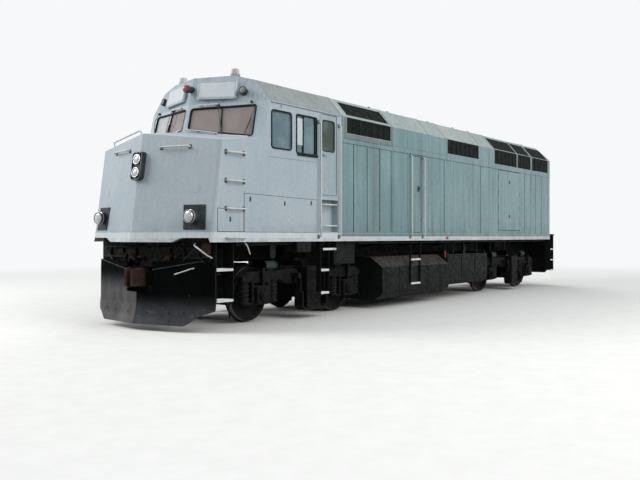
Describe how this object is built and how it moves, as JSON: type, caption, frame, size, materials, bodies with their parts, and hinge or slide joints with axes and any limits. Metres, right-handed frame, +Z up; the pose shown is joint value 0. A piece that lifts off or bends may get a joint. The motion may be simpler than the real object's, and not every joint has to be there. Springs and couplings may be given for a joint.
{
  "type": "diesel locomotive",
  "caption": "Cowl-bodied diesel passenger locomotive with a creased nose, hollow cab, swivelling trucks, spinning wheelsets, opening doors and swinging couplers.",
  "frame": {"origin": "midway between the coupler faces, at the height of the wheel flange bottoms", "axes": "+X forward, towards the cab end, +Y to the left side, +Z up"},
  "size_m": [17.12, 3.266, 4.717],
  "materials": {
    "nose_paint": "worn satin blue-grey paint",
    "hood_paint": "weathered grey-green paint",
    "roof_paint": "weathered grey paint",
    "door_paint": "satin grey paint",
    "sill_paint": "pale grey paint",
    "inner_paint": "matt interior grey-green paint",
    "glass": "tinted clear glass",
    "frame_black": "dusty black paint",
    "grille_black": "matt black",
    "engine_paint": "oily grey paint",
    "lamp_metal": "polished lamp rims",
    "board_white": "plain white",
    "rail_white": "white paint",
    "horn_metal": "dull cast",
    "coupler_rust": "rusty casting",
    "truck_black": "grimy black casting",
    "wheel_steel": "worn steel"
  },
  "bodies": {
    "body": {"air_horn": "horn_metal", "bevel_grilles": "grille_black", "cab_bulkhead": "inner_paint", "cab_fittings": "inner_paint", "cab_floor": "inner_paint", "cab_glass": "glass", "cab_roof": "roof_paint", "cab_shell": "nose_paint", "coupler_pins": "frame_black", "cross_members": "frame_black", "ditch_lamps": "lamp_metal", "door_hinges": "inner_paint", "draft_gear": "frame_black", "end_wall": "hood_paint", "engine_block": "engine_paint", "equipment_boxes": "frame_black", "exhaust_stack": "roof_paint", "floor_plate": "frame_black", "fuel_tank": "frame_black", "grilles": "grille_black", "handrails": "rail_white", "head_lamps": "lamp_metal", "hood_roof": "roof_paint", "hood_wall_left": "hood_paint", "hood_wall_right": "hood_paint", "ladders": "frame_black", "main_frame": "frame_black", "marker_lamps": "lamp_metal", "nose_shell": "nose_paint", "nose_steps": "frame_black", "number_boards": "board_white", "rear_pilot": "frame_black", "roof_beacons": "board_white", "roof_fans": "roof_paint", "side_sills": "sill_paint", "snow_plow": "frame_black"},
    "cab_door_left": {"cab_door_left": "door_paint", "door_pane_left": "glass"},
    "engine_door_left": {"engine_door_left": "hood_paint"},
    "cab_door_right": {"cab_door_right": "door_paint", "door_pane_right": "glass"},
    "engine_door_right": {"engine_door_right": "hood_paint"},
    "end_door": {"end_door": "hood_paint"},
    "front_truck": {"front_truck_frame": "truck_black", "front_axle_boxes": "truck_black", "front_bolster": "truck_black", "front_brakes": "truck_black", "front_motors": "truck_black"},
    "front_coupler": {"coupler_front": "coupler_rust"},
    "front_wheels_a": {"wheelset_front_a": "wheel_steel"},
    "front_wheels_b": {"wheelset_front_b": "wheel_steel"},
    "rear_truck": {"rear_truck_frame": "truck_black", "rear_axle_boxes": "truck_black", "rear_bolster": "truck_black", "rear_brakes": "truck_black", "rear_motors": "truck_black"},
    "rear_coupler": {"coupler_rear": "coupler_rust"},
    "rear_wheels_a": {"wheelset_rear_a": "wheel_steel"},
    "rear_wheels_b": {"wheelset_rear_b": "wheel_steel"}
  },
  "joints": [
    {"name": "front_truck_swivel", "type": "hinge", "parent": "body", "child": "front_truck", "pos_m": [5.029, 0, 1.05], "axis": [0, 0, 1], "range_deg": [-7, 7]},
    {"name": "front_coupler_swing", "type": "hinge", "parent": "body", "child": "front_coupler", "pos_m": [7.65, 0, 0.901], "axis": [0, 0, 1], "range_deg": [-7, 7]},
    {"name": "front_wheels_a_spin", "type": "hinge", "parent": "front_truck", "child": "front_wheels_a", "pos_m": [6.4005, 0, 0.533], "axis": [0, 1, 0], "continuous": true},
    {"name": "front_wheels_b_spin", "type": "hinge", "parent": "front_truck", "child": "front_wheels_b", "pos_m": [3.6575, 0, 0.533], "axis": [0, 1, 0], "continuous": true},
    {"name": "rear_truck_swivel", "type": "hinge", "parent": "body", "child": "rear_truck", "pos_m": [-5.029, 0, 1.05], "axis": [0, 0, 1], "range_deg": [-7, 7]},
    {"name": "rear_coupler_swing", "type": "hinge", "parent": "body", "child": "rear_coupler", "pos_m": [-7.65, 0, 0.901], "axis": [0, 0, 1], "range_deg": [-7, 7]},
    {"name": "rear_wheels_a_spin", "type": "hinge", "parent": "rear_truck", "child": "rear_wheels_a", "pos_m": [-3.6575, 0, 0.533], "axis": [0, 1, 0], "continuous": true},
    {"name": "rear_wheels_b_spin", "type": "hinge", "parent": "rear_truck", "child": "rear_wheels_b", "pos_m": [-6.4005, 0, 0.533], "axis": [0, 1, 0], "continuous": true},
    {"name": "cab_door_left_hinge", "type": "hinge", "parent": "body", "child": "cab_door_left", "pos_m": [4.606, 1.486, 3.2], "axis": [0, 0, 1], "range_deg": [-85, 0]},
    {"name": "cab_door_right_hinge", "type": "hinge", "parent": "body", "child": "cab_door_right", "pos_m": [4.606, -1.486, 3.2], "axis": [0, 0, 1], "range_deg": [0, 85]},
    {"name": "engine_door_left_hinge", "type": "hinge", "parent": "body", "child": "engine_door_left", "pos_m": [1.632, 1.486, 2.6], "axis": [0, 0, 1], "range_deg": [0, 85]},
    {"name": "engine_door_right_hinge", "type": "hinge", "parent": "body", "child": "engine_door_right", "pos_m": [1.632, -1.486, 2.6], "axis": [0, 0, 1], "range_deg": [-85, 0]},
    {"name": "end_door_hinge", "type": "hinge", "parent": "body", "child": "end_door", "pos_m": [-7.236, -0.31, 2.6], "axis": [0, 0, 1], "range_deg": [-85, 0]}
  ]
}
